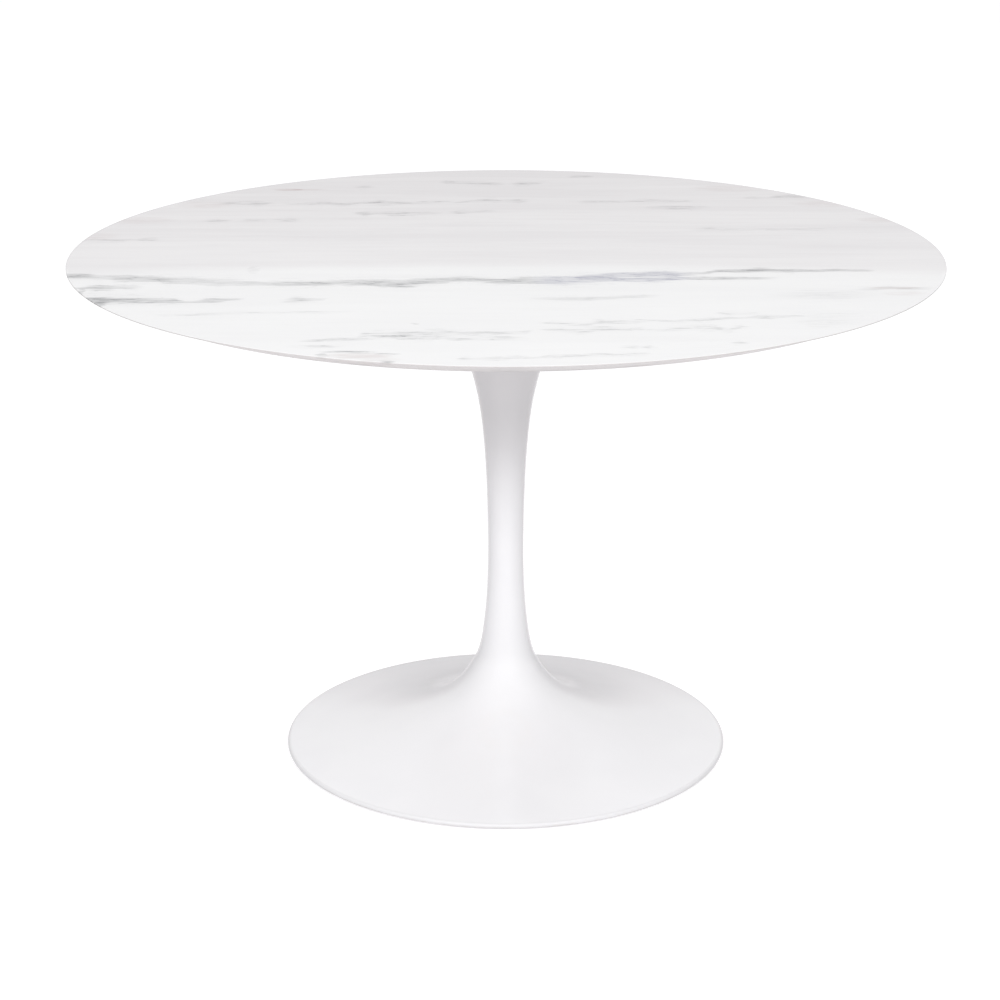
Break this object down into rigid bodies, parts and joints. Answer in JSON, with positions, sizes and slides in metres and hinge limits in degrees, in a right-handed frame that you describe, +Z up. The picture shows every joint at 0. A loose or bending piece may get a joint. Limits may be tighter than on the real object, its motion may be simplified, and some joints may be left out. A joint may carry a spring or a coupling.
{
  "type": "round pedestal table",
  "caption": "Round dining table: veined white stone top with a bevelled edge on a white trumpet pedestal that flares into a wide round foot with levelling glides.",
  "frame": {"origin": "on the floor, under the middle of the table, on the pedestal's axis", "axes": "+Z up along the pedestal's axis; -Y towards the viewer of the reference view; +X to that viewer's right"},
  "size_m": [1.2, 1.2, 0.725],
  "materials": {
    "veined_stone": "polished white marble with grey veins",
    "birch_plywood": "sealed birch plywood",
    "insert_brass": "turned brass",
    "black_plate": "black powder coat on steel",
    "zinc_steel": "zinc plated",
    "black_rubber": "matt",
    "white_enamel": "gloss white paint on a casting",
    "grey_nylon": "moulded"
  },
  "bodies": {
    "table": {"stone_top": "veined_stone", "backing_disc": "birch_plywood", "insert_1": "insert_brass", "insert_2": "insert_brass", "insert_3": "insert_brass", "insert_4": "insert_brass", "insert_5": "insert_brass", "insert_6": "insert_brass", "mounting_plate": "black_plate", "plate_screw_1": "zinc_steel", "plate_screw_2": "zinc_steel", "plate_screw_3": "zinc_steel", "plate_screw_4": "zinc_steel", "plate_screw_5": "zinc_steel", "plate_screw_6": "zinc_steel", "neck_gasket": "black_rubber", "pedestal": "white_enamel", "tie_rod": "zinc_steel", "clamp_washer": "zinc_steel", "spring_washer": "zinc_steel", "clamp_nut": "zinc_steel"},
    "pad_front": {"glide_pad_front": "grey_nylon"},
    "stud_front": {"glide_stud_front": "zinc_steel"},
    "pad_right": {"glide_pad_right": "grey_nylon"},
    "stud_right": {"glide_stud_right": "zinc_steel"},
    "pad_back": {"glide_pad_back": "grey_nylon"},
    "stud_back": {"glide_stud_back": "zinc_steel"},
    "pad_left": {"glide_pad_left": "grey_nylon"},
    "stud_left": {"glide_stud_left": "zinc_steel"}
  },
  "joints": [
    {"name": "glide_extend_front", "type": "slide", "parent": "table", "child": "pad_front", "axis": [0, 0, -1], "range_m": [0, 0.006]},
    {"name": "stud_turn_front", "type": "hinge", "parent": "pad_front", "child": "stud_front", "pos_m": [0, -0.24, 0], "axis": [0, 0, -1], "range_deg": [0, 1728.5]},
    {"name": "glide_extend_right", "type": "slide", "parent": "table", "child": "pad_right", "axis": [0, 0, -1], "range_m": [0, 0.006]},
    {"name": "stud_turn_right", "type": "hinge", "parent": "pad_right", "child": "stud_right", "pos_m": [0.24, 0, 0], "axis": [0, 0, -1], "range_deg": [0, 1728.5]},
    {"name": "glide_extend_back", "type": "slide", "parent": "table", "child": "pad_back", "axis": [0, 0, -1], "range_m": [0, 0.006]},
    {"name": "stud_turn_back", "type": "hinge", "parent": "pad_back", "child": "stud_back", "pos_m": [0, 0.24, 0], "axis": [0, 0, -1], "range_deg": [0, 1728.5]},
    {"name": "glide_extend_left", "type": "slide", "parent": "table", "child": "pad_left", "axis": [0, 0, -1], "range_m": [0, 0.006]},
    {"name": "stud_turn_left", "type": "hinge", "parent": "pad_left", "child": "stud_left", "pos_m": [-0.24, 0, 0], "axis": [0, 0, -1], "range_deg": [0, 1728.5]}
  ],
  "couplings": [
    {"joint": "stud_turn_front", "follows": "glide_extend_front", "rad_per_m": 5026.5},
    {"joint": "stud_turn_right", "follows": "glide_extend_right", "rad_per_m": 5026.5},
    {"joint": "stud_turn_back", "follows": "glide_extend_back", "rad_per_m": 5026.5},
    {"joint": "stud_turn_left", "follows": "glide_extend_left", "rad_per_m": 5026.5}
  ]
}
